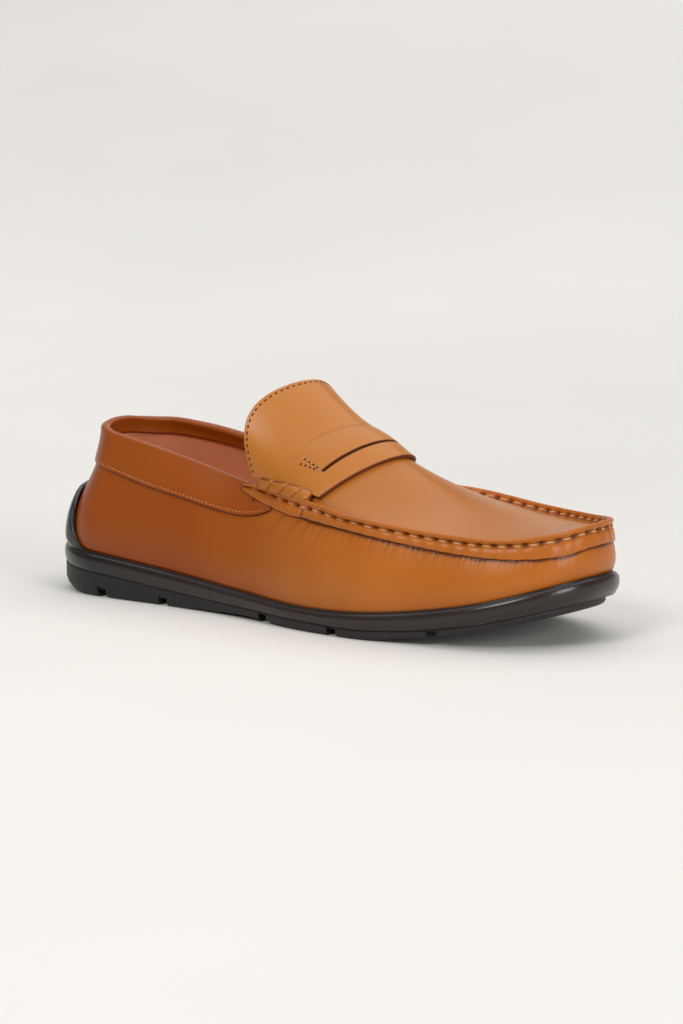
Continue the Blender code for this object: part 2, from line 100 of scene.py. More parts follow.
# apron rows from the toe to the throat
apronTable = table(
    ("at", "rise", "bow", "peak", "shoulder", "turn", "handle"),
    (0.200, 3.0, 2.3, 1.0, 0.0, 0.0, 0.33),
    (0.300, 4.5, 8.6, 1.0, 0.0, 0.0, 0.33),
    (0.400, 9.2, 18.0, 1.0, 0.0, 0.0, 0.33),
    (0.450, 15.4, 22.4, 1.0, 0.0, 0.6, 0.33),
    (0.475, 19.5, 23.0, 1.0, 0.0, 2.0, 0.32),
    (0.500, 25.0, 21.0, 1.1, 0.5, 3.5, 0.15),
    (0.525, 30.0, 16.5, 1.1, 5.0, 5.0, -0.10),
    (0.550, 43.2, 5.2, 2.4, 3.5, 6.5, -0.35),
)
tabTable = table(
    ("at", "share"),
    (0.813, 0.00), (0.838, 0.09), (0.864, 0.31), (0.890, 0.39), (0.945, 0.43), (1.000, 0.44),
)
soleTable = table(
    ("at", "rimOut", "sideOut", "edgeIn", "edgeUp"),
    (0.00, 3.4, -3.2, 3.0, 1.6),
    (0.12, 3.4, -2.0, 3.0, 1.6),
    (0.25, 3.4, 1.6, 2.4, 1.6),
    (0.50, 3.4, 2.2, 2.0, 1.4),
    (0.75, 3.6, 2.6, 3.0, 2.4),
    (0.90, 4.8, 4.2, 8.0, 7.0),
    (1.00, 5.2, 4.8, 10.0, 9.0),
)
collarTable = table(
    ("at", "lowerEdge"),
    (0.526, 6.6), (0.538, 9.7), (0.557, 12.9), (0.575, 14.5), (0.600, 15.6),
    (0.625, 16.2), (0.685, 17.0), (0.800, 15.4), (1.000, 16.0),
)
seamTable = table(
    ("at", "lip", "size", "drop"),
    (0.000, 5.2, 1.00, 0.0),
    (0.090, 5.8, 1.00, 0.0),
    (0.180, 5.2, 1.00, 0.0),
    (0.280, 4.3, 1.00, 0.0),
    (0.400, 3.6, 1.00, 0.0),
    (0.525, 3.6, 1.00, 0.0),
    (0.540, 3.6, 1.00, 0.0),
    (0.575, 3.6, 0.45, 2.0),
)


def follow(sections, column, at):
    keys = sections["at"]
    values = sections[column]
    at = np.clip(at, keys[0], keys[-1])
    slopes = np.gradient(values, keys)
    i = np.clip(np.searchsorted(keys, at, side="right") - 1, 0, len(keys) - 2)
    span = keys[i + 1] - keys[i]
    s = (at - keys[i]) / span
    start = values[i] * (1 + 2 * s) * (1 - s) ** 2 + slopes[i] * span * s * (1 - s) ** 2
    end = values[i + 1] * s * s * (3 - 2 * s) + slopes[i + 1] * span * s * s * (s - 1)
    return start + end


def unit(vectors):
    return vectors / np.linalg.norm(vectors, axis=-1, keepdims=True)


def dot(a, b):
    return np.sum(a * b, axis=-1, keepdims=True)


def smooth(low, high, values):
    s = np.clip((values - low) / (high - low), 0.0, 1.0)
    return s * s * (3 - 2 * s)


def bezier(a, b, c, d, s):
    s = np.asarray(s)[..., None]
    r = 1 - s
    return a * r**3 + 3 * b * r * r * s + 3 * c * r * s * s + d * s**3


def around(u):
    return (u + 1) % 2 - 1


def feather(u):
    t = (1 + np.cos(np.pi * u)) / 2
    heel = np.maximum(0.0, (form["heelCap"] - t) / form["heelCap"])
    toe = np.maximum(0.0, (t - form["toeCap"]) / (1 - form["toeCap"]))
    power = form["toePower"]
    closing = np.sqrt(np.maximum(0.0, 1 - heel**2)) * np.maximum(0.0, 1 - toe**power) ** (1 / power)
    side = np.copysign(follow(lastTable, "halfWidth", t) * closing, u)
    y = follow(lastTable, "centre", t) + side
    pastStart = np.maximum(0.0, t - form["toeTrimStart"]) / (1 - form["toeTrimStart"])
    x = form["length"] * t - form["toeTrim"] * pastStart**2
    return np.stack((x, y, follow(lastTable, "featherZ", t)), axis=-1)


def outward(u):
    run = feather(around(u + form["step"])) - feather(around(u - form["step"]))
    return unit(np.stack((run[..., 1], -run[..., 0], np.zeros_like(run[..., 0])), axis=-1))


def topLine(u):
    a = np.abs(u)
    point = feather(u) - outward(u) * follow(wallTable, "inset", a)[..., None]
    point[..., 2] = follow(wallTable, "topZ", a) + (u > 0) * follow(wallTable, "medialRise", a)
    return point


def wallHeight(u):
    return np.linalg.norm(topLine(u) - feather(u), axis=-1)


def wallPoint(u, v):
    foot = feather(u)
    head = topLine(u)
    out = outward(u)
    reach = (form["handle"] * np.linalg.norm(head - foot, axis=-1))[..., None]
    flare = np.radians(follow(wallTable, "flare", np.abs(u)))[..., None]
    tuck = np.radians(follow(wallTable, "tuck", np.abs(u)))[..., None]
    low = foot + reach * (upward * np.cos(flare) + out * np.sin(flare))
    high = head + reach * (out * np.sin(tuck) - upward * np.cos(tuck))
    return bezier(foot, low, high, head, v)


def wallFrame(u, v):
    # point, outer normal and upward slope of the wall
    step = form["step"]
    run = wallPoint(around(u + step), v) - wallPoint(around(u - step), v)
    rising = wallPoint(u, v + step) - wallPoint(u, v - step)
    return wallPoint(u, v), unit(np.cross(run, rising)), unit(rising)


def apronPoint(u, w):
    lateral = topLine(-u)
    medial = topLine(u)
    handle = follow(apronTable, "handle", u)[..., None] * (medial - lateral)
    lift = upward * (follow(apronTable, "rise", u) * 4 / 3)[..., None]
    point = bezier(lateral, lateral + handle + lift, medial - handle + lift, medial, w)
    crown = np.maximum(0.0, np.sin(np.pi * w)) ** follow(apronTable, "peak", u)
    point[..., 0] += follow(apronTable, "bow", u) * crown
    point[..., 0] -= follow(apronTable, "shoulder", u) * np.sin(2 * np.pi * w) ** 2
    point[..., 0] -= follow(apronTable, "turn", u) * np.sin(2 * np.pi * w)
    return point


def apronFrame(u, w):
    step = form["step"]
    across = apronPoint(u, w + step) - apronPoint(u, w - step)
    back = apronPoint(u + step, w) - apronPoint(u - step, w)
    return apronPoint(u, w), unit(np.cross(across, back))


def seamFrame(u):
    # corner of wall and apron, the ways down the wall and in over the apron, and both normals
    step = form["step"]
    corner = topLine(u)
    run = unit(topLine(u + step) - topLine(u - step))
    down = unit(wallPoint(u, np.full_like(u, 1 - step)) - corner)
    row = np.clip(np.abs(u), form["apronCap"], form["throat"])
    near = np.where(u < 0, 0.0, 1.0)
    inner = np.where(u < 0, 1.0, -1.0)
    leaving = unit(apronPoint(row, near + inner * step) - apronPoint(row, near))
    pastToe = np.minimum(1.0, np.abs(u) / form["apronCap"]) ** 2
    across = 1 + (inner * leaving[..., 1] - 1) * pastToe
    rise = form["toeSlope"] + (leaving[..., 2] - form["toeSlope"]) * pastToe
    inward = unit(upward * rise[..., None] - outward(u) * across[..., None])
    return corner, down, inward, unit(np.cross(run, -down)), unit(np.cross(run, inward))


def milesAlong(points):
    return np.concatenate(((0.0,), np.cumsum(np.linalg.norm(np.diff(points, axis=0), axis=1))))


# distance along the seam from the toe, and back to the outline share
seamShares = np.linspace(-0.62, 0.62, 3001)
seamMiles = milesAlong(topLine(seamShares))
seamMiles -= np.interp(0.0, seamShares, seamMiles)


def seamLength(u):
    return np.interp(u, seamShares, seamMiles)


def seamShare(length):
    return np.interp(length, seamMiles, seamShares)


# Mesh helpers

def gridMesh(look, place):
    # a grid whose two shares, 0 to 1, are placed by a function that returns points and named marks
    bm = bmesh.new()
    bmesh.ops.create_grid(bm, x_segments=look["columns"], y_segments=look["rows"], size=0.5)
    bm.verts.ensure_lookup_table()
    spots = np.array([v.co[:2] for v in bm.verts]) + 0.5
    points, named = place(spots[:, 0], spots[:, 1])
    points = (points + np.array(form["heelEnd"])) * mm
    for vertex, point in zip(bm.verts, points):
        vertex.co = point
    for name, values in named.items():
        layer = bm.verts.layers.float.new(name)
        for vertex, value in zip(bm.verts, values):
            vertex[layer] = value
    return bm


def addObject(name, data):
    made = bpy.data.objects.new(name, data)
    scene.collection.objects.link(made)
    return made


def finishMesh(name, bm, materials, replaced=(), merge=0.0, sharp=None, closed=False):
    if merge:
        bmesh.ops.remove_doubles(bm, verts=bm.verts, dist=merge * mm)
        flat = [face for face in bm.faces if face.calc_area() < 1e-14]
        bmesh.ops.delete(bm, geom=flat, context="FACES_ONLY")
    if closed:
        rims = [edge for edge in bm.edges if edge.is_boundary]
        if rims:
            bmesh.ops.holes_fill(bm, edges=rims, sides=0)
        bmesh.ops.recalc_face_normals(bm, faces=bm.faces)
    mesh = bpy.data.meshes.new(name)
    bm.to_mesh(mesh)
    bm.free()
    mesh.shade_smooth()
    if sharp:
        mesh.set_sharp_from_angle(angle=math.radians(sharp))
    piece = addObject(name, mesh)
    for material in materials:
        mesh.materials.append(material)
    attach(piece, "root")
    if replaced:
        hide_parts(*replaced)
    print("made", name, len(mesh.polygons), "faces")
    return piece


def thicken(piece, thickness, inner=0, rim=0, rounding=0.0):
    solid = piece.modifiers.new("thickness", "SOLIDIFY")
    solid.thickness = thickness * mm
    solid.offset = -1
    solid.use_even_offset = False
    solid.material_offset = inner
    solid.material_offset_rim = rim
    if rounding:
        bevel = piece.modifiers.new("rounded edges", "BEVEL")
        bevel.affect = "EDGES"
        bevel.width = rounding * mm
        bevel.segments = 2
        bevel.profile = 0.5
        bevel.material = -1
        bevel.limit_method = "ANGLE"
        bevel.angle_limit = math.radians(50)


def addBead(bm, centre, along, out, size):
    # one stitch: a bead as long, wide and high as size
    along = unit(along)
    out = unit(out - dot(out, along) * along)
    side = np.cross(out, along)
    turn = Matrix(np.column_stack((along * size[0], side * size[1], out * size[2])).tolist()).to_4x4()
    place = Matrix.Translation(((centre + np.array(form["heelEnd"])) * mm).tolist())
    scale = Matrix.Scale(mm, 4)
    bmesh.ops.create_uvsphere(bm, u_segments=8, v_segments=6, radius=0.5, matrix=place @ turn @ scale)


def wander(at, pitch, seed):
    # smooth random waves between -1 and 1
    values = np.random.default_rng(seed).uniform(-1, 1, 1024)
    whole = np.floor(at / pitch).astype(int)
    part = at / pitch - whole
    part = part * part * (3 - 2 * part)
    return values[whole % 1024] * (1 - part) + values[(whole + 1) % 1024] * part


# Materials

def linear(hexColour):
    parts = [int(hexColour[i:i + 2], 16) / 255 for i in (1, 3, 5)]
    return (*[c / 12.92 if c <= 0.04045 else ((c + 0.055) / 1.055) ** 2.4 for c in parts], 1.0)


def addNode(tree, kind, inputs=None, **settings):
    made = tree.nodes.new("ShaderNode" + kind)
    for name, value in settings.items():
        setattr(made, name, value)
    for socket, value in (inputs or {}).items():
        if isinstance(value, bpy.types.NodeSocket):
            tree.links.new(value, made.inputs[socket])
        else:
            made.inputs[socket].default_value = value
    return made


def startMaterial(name):
    material = bpy.data.materials.new(name)
    material.use_nodes = True
    tree = material.node_tree
    return material, tree, tree.nodes["Principled BSDF"]


def perMetre(size):
    return 1000.0 / size  # texture scale for a pattern of that size in millimetres


leatherLook = {
    "tan": "#AF631E",
    "deep": "#A55917",
    "apronTan": "#AB6622",
    "apronDeep": "#A45F1C",
    "saddleTan": "#B27030",
    # colours of the painted shade: a soft one for broad shade and darker tone, a dark one for shade in
    # creases, holes, gaps and under edges
    "paintedSoftShadeAndTone": "#823502",
    "paintedShadeAndTone": "#3A1203",
    "mottle": 45.0,
    "grain": 1.1,  # grain and pores are coarser than on real calf, so that they show
    "pore": 0.5,
    "roughness": (0.29, 0.40),
    "specular": 0.25,
    "coat": 0.06,
    "coatRoughness": 0.25,
    "bump": 0.10,
    "bumpDepth": 0.0002,
}


def smoothLeather(name, tan, deep):
    # Smooth calf, drum dyed and lightly waxed: satin gloss, faint pores, slow changes of tone, with painted
    # shade and darker tone mixed in where the two marks are set
    material, tree, shader = startMaterial(name)
    spot = addNode(tree, "TexCoord").outputs["Object"]
    mottle = addNode(tree, "TexNoise", {"Vector": spot, "Scale": perMetre(leatherLook["mottle"]),
                                        "Detail": 3.0})
    tone = addNode(tree, "MapRange", {"Value": mottle.outputs["Fac"], "From Min": 0.3, "From Max": 0.7})
    # sockets of a colour mix: 0 is the share, 6 and 7 the two colours, 2 the result
    colour = addNode(tree, "Mix", {0: tone.outputs["Result"], 6: linear(deep), 7: linear(tan)},
                     data_type="RGBA")
    # mix in the painted shade and darker tone
    for mark in ("paintedSoftShadeAndTone", "paintedShadeAndTone"):
        amount = addNode(tree, "Attribute", attribute_name=mark).outputs["Fac"]
        colour = addNode(tree, "Mix", {0: amount, 6: colour.outputs[2], 7: linear(leatherLook[mark])},
                         data_type="RGBA")
    tree.links.new(colour.outputs[2], shader.inputs["Base Color"])
    grain = addNode(tree, "TexVoronoi", {"Vector": spot, "Scale": perMetre(leatherLook["grain"])},
                    feature="DISTANCE_TO_EDGE")
    pore = addNode(tree, "TexNoise", {"Vector": spot, "Scale": perMetre(leatherLook["pore"]), "Detail": 2.0})
    relief = addNode(tree, "Math", {0: grain.outputs["Distance"], 1: pore.outputs["Fac"]}, operation="ADD")
    bump = addNode(tree, "Bump", {"Height": relief.outputs["Value"], "Strength": leatherLook["bump"],
                                  "Distance": leatherLook["bumpDepth"]})
    tree.links.new(bump.outputs["Normal"], shader.inputs["Normal"])
    low, high = leatherLook["roughness"]
    gloss = addNode(tree, "MapRange", {"Value": mottle.outputs["Fac"], "To Min": low, "To Max": high})
    tree.links.new(gloss.outputs["Result"], shader.inputs["Roughness"])
    shader.inputs["Specular IOR Level"].default_value = leatherLook["specular"]
    shader.inputs["Coat Weight"].default_value = leatherLook["coat"]
    shader.inputs["Coat Roughness"].default_value = leatherLook["coatRoughness"]
    return material


def plainFinish(name, colour, other, roughness, bumpSize, bumpStrength, mark="paintedShadeAndTone"):
    # Fine mottle between two tones of one material, with a second tone where a mark is set
    material, tree, shader = startMaterial(name)
    spot = addNode(tree, "TexCoord").outputs["Object"]
    noise = addNode(tree, "TexNoise", {"Vector": spot, "Scale": perMetre(bumpSize), "Detail": 4.0})
    shade = addNode(tree, "MapRange", {"Value": noise.outputs["Fac"], "To Min": 0.8, "To Max": 1.15})
    amount = addNode(tree, "Attribute", attribute_name=mark)
    base = addNode(tree, "Mix", {0: amount.outputs["Fac"], 6: linear(colour), 7: linear(other)},
                   data_type="RGBA")
    tint = addNode(tree, "Mix", {0: 1.0, 6: base.outputs[2], 7: shade.outputs["Result"]},
                   data_type="RGBA", blend_type="MULTIPLY")
    tree.links.new(tint.outputs[2], shader.inputs["Base Color"])
    bump = addNode(tree, "Bump", {"Height": noise.outputs["Fac"], "Strength": bumpStrength,
                                  "Distance": 0.0003})
    tree.links.new(bump.outputs["Normal"], shader.inputs["Normal"])
    shader.inputs["Roughness"].default_value = roughness
    return material


upperLeather = smoothLeather("waxed calf", leatherLook["tan"], leatherLook["deep"])
# The same calf on the apron, with painted light and sheen where it faces up: a little paler and more golden
apronLeather = smoothLeather("calf apron with painted light and sheen", leatherLook["apronTan"], leatherLook["apronDeep"])
# The same calf on the saddle, with more painted light and sheen: paler and more golden still
saddleLeather = smoothLeather("calf saddle with painted light and sheen", leatherLook["saddleTan"], leatherLook["apronTan"])
# The next ones give two tones, roughness, size of the mottle in millimetres and strength of its bump
# Cut edges: pale on the tongue's edge, dark on the strap and its slot
cutEdge = plainFinish("calf edge", "#BE8048", "#6A3014", 0.6, 0.6, 0.3, "darkEdge")
# Soft unglazed lining, a dull pinkish brown, with painted light: made paler to stand in for the light inside
# the shoe
liningLeather = plainFinish("lining leather", "#DE936C", "#A05C40", 0.62, 0.8, 0.3)
# Moulded rubber of the cup: almost black with a brown cast and a satin shine
cupRubber = plainFinish("satin cup rubber", "#231A19", "#120D0C", 0.26, 0.9, 0.03)
# Tread rubber: darker and matt
treadRubber = plainFinish("matt tread rubber", "#1A1514", "#0E0A09", 0.55, 0.9, 0.15)
# Tan waxed thread, a little paler than the calf, that catches the light
waxedThread = plainFinish("waxed thread", "#C48A5C", "#9A6A44", 0.45, 0.5, 0.4)
# Shadow in the needle holes
needleHole = plainFinish("needle hole", "#2A0F05", "#180703", 0.8, 0.5, 0.2)
print("materials ready")

# Stitches of the seam, counted from the toe: each whole number is a hole

stitchTable = table(
    ("at", "count"),
    (0.0, 0.0), (28.0, 4.0), (74.0, 11.0), (133.0, 19.0), (168.0, 23.0), (186.0, 25.0), (210.0, 27.7),
)
stitchSpots = np.linspace(0.0, 205.0, 2001)
stitchCounts = follow(stitchTable, "count", stitchSpots)


def stitchCount(length):
    return np.sign(length) * follow(stitchTable, "count", np.abs(length))


def stitchPlace(count):
    return np.sign(count) * np.interp(np.abs(count), stitchCounts, stitchSpots)


# Upper wall with gathers and creases under the seam

wallLook = {
    "columns": 1072,
    "heelColumns": 96,        # coarse columns on each side of the heel
    "backColumns": 8,         # fine columns at the back seam
    "backShare": 0.996,
    "frontShare": 0.60,
    "rows": 40,
    "crowding": 1.4,          # draws the rows together at the topline
    "gatherEnd": 0.545,
    "gatherPitch": 1.7,
    "gatherDepth": 0.17,
    "gatherWidth": 0.48,
    "gatherReach": (3.0, 11.0),
    "gatherLean": 0.22,
    "gatherStart": (-1.5, 0.5),  # fades in across the lip's edge
    "gatherRange": 16.0,
    "gatherShade": (0.8, 0.6),  # strength and limit
    "finePitch": 1.2,
    "fineDepth": 0.08,
    "fineReach": 12.0,
    "lipShadow": (0.4, 0.8),  # middle and half width of the dark line under the lip
    "lipWave": 0.35,
    "lipWavePitch": 5.0,
    "lipShadowEnd": (0.535, 0.55),
    "dent": 0.35,
    "dentPitch": 34.0,
    "backSeam": (0.45, 0.3),  # half width and depth
    "footShade": 0.1,
    "heelShade": 0.75,
}
gatherTable = table(
    ("at", "amount"),
    (0.00, 0.25), (0.10, 0.50), (0.20, 0.75), (0.30, 1.0),
    (0.42, 1.0), (0.50, 0.9), (0.545, 0.0), (1.0, 0.0),
)
# main creases: outline share, reach down, lean to the heel, depth, width
mainCreases = (
    (0.492, 14.0, 0.70, 0.400, 1.6),
    (0.470, 19.0, 0.60, 0.440, 1.7),
    (0.455, 12.0, 0.45, 0.240, 0.9),
    (0.436, 17.0, 0.40, 0.288, 0.9),
    (0.426, 12.0, 0.30, 0.192, 0.7),
    (0.396, 13.0, 0.30, 0.208, 0.7),
    (0.352, 14.0, 0.35, 0.224, 0.7),
    (0.343, 11.0, 0.30, 0.176, 0.6),
    (0.300, 13.0, 0.40, 0.176, 0.6),
    (0.288, 11.0, 0.35, 0.160, 0.6),
)


def gathers(length, below, u):
    # soft troughs with raised sides that run down from the seam's lip
    rng = np.random.default_rng(5)
    distance = np.abs(length)
    under = below - follow(seamTable, "lip", np.abs(u))
    troughs = []
    for side in (-1, 1):
        for place in np.arange(2.0, float(seamLength(wallLook["gatherEnd"])), wallLook["gatherPitch"]):
            amount = float(follow(gatherTable, "amount", abs(float(seamShare(place)))))
            depth = wallLook["gatherDepth"] * rng.uniform(0.2, 1.0) * amount
            lean = wallLook["gatherLean"] + rng.uniform(-0.15, 0.15)
            start = place + rng.uniform(-0.8, 0.8)
            reach = rng.uniform(*wallLook["gatherReach"])
            troughs.append((side, start, reach, lean, depth, wallLook["gatherWidth"]))
        for share, reach, lean, depth, width in mainCreases:
            troughs.append((side, float(seamLength(share)), reach, lean, depth, width))
    height = np.zeros_like(length)
    shade = np.zeros_like(length)
    strength, limit = wallLook["gatherShade"]
    above, full = wallLook["gatherStart"]
    for side, place, reach, lean, depth, width in troughs:
        near = (np.abs(distance - place) < wallLook["gatherRange"]) & (u * side > 0) & (under > above)
        x = (distance[near] - place - lean * under[near]) / width
        fade = np.clip(1 - under[near] / reach, 0.0, 1.0) ** 1.2 * smooth(above, full, under[near])
        height[near] -= depth * fade * (1 - 0.6 * x * x) * np.exp(-x * x / 2)
        # painted shade in the troughs
        shade[near] += strength * depth / width**0.7 * fade * np.exp(-x * x)
    return height, np.minimum(shade, limit)


def placeWall(s, t):
    back = wallLook["backColumns"] / wallLook["columns"]
    edge = wallLook["heelColumns"] / wallLook["columns"]
    u = np.interp(s, (0.0, back, edge, 1 - edge, 1 - back, 1.0),
                  (-1.0, -wallLook["backShare"], -wallLook["frontShare"],
                   wallLook["frontShare"], wallLook["backShare"], 1.0))
    v = 1 - (1 - t) ** wallLook["crowding"]
    a = np.abs(u)
    point, normal, rising = wallFrame(u, v)
    below = (1 - v) * wallHeight(u)
    lift, shade = gathers(seamLength(u), below, u)
    fine = wander(np.abs(seamLength(u)) - wallLook["gatherLean"] * below, wallLook["finePitch"], 17)
    under = below - follow(seamTable, "lip", a)
    fineFade = np.clip(1 - under / wallLook["fineReach"], 0.0, 1.0)
    lift += wallLook["fineDepth"] * fine * fineFade * follow(gatherTable, "amount", a)
    lift += wallLook["dent"] * wander(u * 420.0, wallLook["dentPitch"], 11) * np.sin(np.pi * v) ** 2
    seamHalf, seamDepth = wallLook["backSeam"]
    onBack = np.where(a > 0.97, np.exp(-(point[:, 1] / seamHalf) ** 2), 0.0)
    lift -= seamDepth * onBack
    # painted shade along the back seam's groove
    shade = np.maximum(shade, 0.8 * onBack)
    # painted shadow line under the lip's edge, wavering along the seam
    middle, half = wallLook["lipShadow"]
    middle = middle + wallLook["lipWave"] * wander(seamLength(u), wallLook["lipWavePitch"], 23)
    line = np.exp(-(((under - middle) / half) ** 2)) * (1 - smooth(*wallLook["lipShadowEnd"], a))
    shade = np.maximum(shade, 0.95 * line)
    # painted shade along the foot and over the heel, but not at the topline
    paintedSoftShadeAndTone = wallLook["footShade"] * (1 - smooth(0.0, 0.25, v))
    paintedSoftShadeAndTone += wallLook["heelShade"] * smooth(0.40, 0.66, a) * (1 - smooth(0.62, 0.95, v))
    return point + normal * lift[:, None], {"paintedShadeAndTone": shade, "paintedSoftShadeAndTone": paintedSoftShadeAndTone}


wall = finishMesh("upper_wall", gridMesh(wallLook, placeWall),
                  (upperLeather, liningLeather, cutEdge), ("upper",), merge=0.01)
thicken(wall, form["wall"], 1, 2)

# Apron and tongue under the saddle

apronLook = {"columns": 96, "rows": 150, "capRows": 0.24, "capReach": 30.0,
             "edgeFade": 3.2, "edgeShade": 0.75}


def placeApron(s, t):
    capShare = apronLook["capRows"]
    cap = form["apronCap"]
    w = s
    inCap = t < capShare
    share = np.where(inCap, t / capShare, 1.0)
    k = share[:, None]
    u = np.where(inCap, cap, cap + (t - capShare) / (1 - capShare) * (form["throat"] - cap))
    straight = apronPoint(u, w)
    # the rounded front runs from the toe's arc into the first straight row without a kink
    arc = topLine(cap * (2 * w - 1))
    edge = apronPoint(np.full_like(w, cap), w)
    leaving = apronPoint(np.full_like(w, cap + 0.002), w) - edge
    span = np.linalg.norm(edge - arc, axis=-1, keepdims=True)
    endSlope = unit(leaving) * span
    rounded = (arc * (1 + 2 * k) * (1 - k) ** 2 + (edge - arc) * k * (1 - k) ** 2
               + edge * k * k * (3 - 2 * k) + endSlope * k * k * (k - 1))
    point = np.where(inCap[:, None], rounded, straight)
    sideReach = np.minimum(w, 1 - w) * np.linalg.norm(topLine(u) - topLine(-u), axis=-1)
    capReach = np.minimum(share * span[:, 0] + 0.2 * sideReach,
                          sideReach + apronLook["capReach"] * (1 - share))
    reach = np.where(inCap, capReach, sideReach)
    # painted shade on the apron along the seam ridge
    return point, {"paintedSoftShadeAndTone": apronLook["edgeShade"] * np.exp(-((reach / apronLook["edgeFade"]) ** 2))}


apron = finishMesh("apron", gridMesh(apronLook, placeApron),
                   (apronLeather, liningLeather, cutEdge), ("upper",))
thicken(apron, form["wall"], 1, 2)

# Hand-sewn ridge round the apron, with the wall's turned lip below it

seamLook = {
    "columns": 1200,
    "rows": 40,
    "end": 0.572,
    "height": 3.9,
    "swell": 0.12,
    "scallop": 0.06,
    "hole": (1.0, 1.55, 1.05),    # depth, half length and half height
    "lean": (0.35, 0.9),
    "layBack": (0.41, 0.47, 1.5), # the ridge lies back against the saddle between these shares
    "toeLip": (0.08, 0.30, 0.6),  # a thinner lip round the toe
    "joint": 0.467,               # where the lip's back piece meets the front one
    "girth": 24.0,                # round the ridge's section
    "thread": (4.4, 1.05, 0.9),
    "threadGap": 2.6,
    "overBand": (0.540, 0.556, 1.3),
}


def ridgeFrame(u):
    corner, down, inward, wallNormal, apronNormal = seamFrame(u)
    first, last, amount = seamLook["layBack"]
    back = (amount * smooth(first, last, np.abs(u)))[:, None]
    ridge = unit(seamLook["lean"][0] * wallNormal + seamLook["lean"][1] * apronNormal + back * inward)
    across = unit(wallNormal - ridge * dot(wallNormal, ridge))
    return corner, down, inward, wallNormal, apronNormal, ridge, across


def seamSection(u, length):
    corner, down, inward, wallNormal, apronNormal, ridge, across = ridgeFrame(u)
    a = np.abs(u)
    size = follow(seamTable, "size", a)[:, None]
    drop = follow(seamTable, "drop", a)
    height = wallHeight(u)
    thin, thick, share = seamLook["toeLip"]
    full = (share + (1 - share) * smooth(thin, thick, a))[:, None]
    first, last, lift = seamLook["overBand"]
    raised = lift * smooth(first, last, a)
    corner = corner + down * drop[:, None] + wallNormal * raised[:, None]
    tip = corner + ridge * seamLook["height"] * size
    wave = -np.cos(2 * np.pi * stitchCount(length))
    puff = (seamLook["swell"] * wave)[:, None] * size
    back = smooth(seamLook["joint"], seamLook["joint"] + 0.03, a) * (1 - smooth(0.54, 0.575, a))
    lip = (follow(seamTable, "lip", a) + seamLook["scallop"] * wave + 1.2 * back) * size[:, 0]
    joint = np.exp(-((np.abs(length) - float(seamLength(seamLook["joint"]))) / 0.55) ** 2)[:, None]

    def onLip(share, rise):
        point, normal, rising = wallFrame(u, 1 - (drop + lip * share) / height)
        return point + normal * (raised[:, None] + rise * (1 - 0.75 * joint))

    points = [
        onLip(0.80, -0.2 * size),
        onLip(0.97, 0.45 * size),
        onLip(1.0, 1.15 * full * size + 0.5 * puff),
        onLip(0.72, 1.85 * full * size + puff),
        onLip(0.28, 1.9 * (0.4 + 0.6 * full) * size + puff),
        corner + ridge * 0.9 * size + across * (0.75 * size + 0.3 * puff),
        tip - ridge * 1.5 * size + across * 1.0 * size,
        tip - ridge * 0.35 * size + across * 0.9 * size,
        tip + ridge * 0.1 * size + across * 0.2 * size,
        tip - ridge * 0.15 * size - across * 0.65 * size,
        tip - ridge * 1.2 * size - across * 1.0 * size,
        corner + ridge * 1.0 * size - across * 1.1 * size,
        corner + inward * 2.2 * size - apronNormal * 0.1,
        corner + unit(wallNormal + apronNormal) * 0.3,
    ]
    return points, across, ridge, joint[:, 0]


seamPoints = 14               # as many as a section has
stitchRow = 5.0 / seamPoints  # place of the stitch line round the section
innerRow = 11.0 / seamPoints  # and of its other side, over the apron


def loopThrough(points, t):
    # closed smooth curve through a station's section points
    count = len(points)
    stack = np.stack(points)
    spot = (t % 1.0) * count
    i = np.floor(spot).astype(int) % count
    s = (spot - np.floor(spot))[:, None]
    lane = np.arange(stack.shape[1])
    before, start, end, after = (stack[(i + k) % count, lane] for k in (-1, 0, 1, 2))
    return 0.5 * (2 * start + (end - before) * s + (2 * before - 5 * start + 4 * end - after) * s**2
                  + (3 * start - before - 3 * end + after) * s**3)


def placeSeam(s, t):
    u = seamLook["end"] * (2 * s - 1)
    length = seamLength(u)
    points, across, ridge, joint = seamSection(u, length)
    point = loopThrough(points, t)
    depth, halfLength, halfHeight = seamLook["hole"]
    count = stitchCount(length)
    offLength = length - stitchPlace(np.round(count))
    outerSpot, innerSpot = (
        np.exp(-(offLength / halfLength) ** 2 - ((t - row) * seamLook["girth"] / halfHeight) ** 2)
        for row in (stitchRow, innerRow))
    # painted shade in the needle holes, under the lip, at the lip's joint and at the ridge's end
    shade = np.maximum(outerSpot, innerSpot)
    shade = np.maximum(shade, 0.95 * (1 - smooth(0.0, 0.075, t)))
    shade = np.maximum(shade, 0.9 * joint * (t < 0.36))
    shade = np.maximum(shade, 0.8 * smooth(0.568, 0.572, np.abs(u)))
    push = depth * (innerSpot - outerSpot)
    return point + across * push[:, None], {"paintedShadeAndTone": np.minimum(shade, 1.0)}


finishMesh("apron_seam_ridge", gridMesh(seamLook, placeSeam),
           (upperLeather,), ("apron_seam",), merge=0.01, closed=True)


def sewSeam():
    bm = bmesh.new()
    last = int(stitchCount(seamLength(np.array((seamLook["end"] - 0.008,))))[0])
    for row, push in ((stitchRow, 0.25), (innerRow, -0.25)):
        for k in range(-last, last):
            ends = stitchPlace(np.array((k + 0.0, k + 0.5, k + 1.0)))
            u = seamShare(ends)
            points, across, ridge, joint = seamSection(u, ends)
            spots = loopThrough(points, np.full(3, row))
            size = float(follow(seamTable, "size", abs(u[1])))
            long, wide, high = seamLook["thread"]
            along = spots[2] - spots[0]
            addBead(bm, spots[1] + across[1] * push, along - ridge[1] * 0.6, across[1] * np.sign(push),
                    (min(long, np.linalg.norm(along) - seamLook["threadGap"]), wide * size, high * size))
    return finishMesh("seam_thread", bm, (waxedThread,))


sewSeam()

# Collar band with its rolled topline and the row of fine stitches

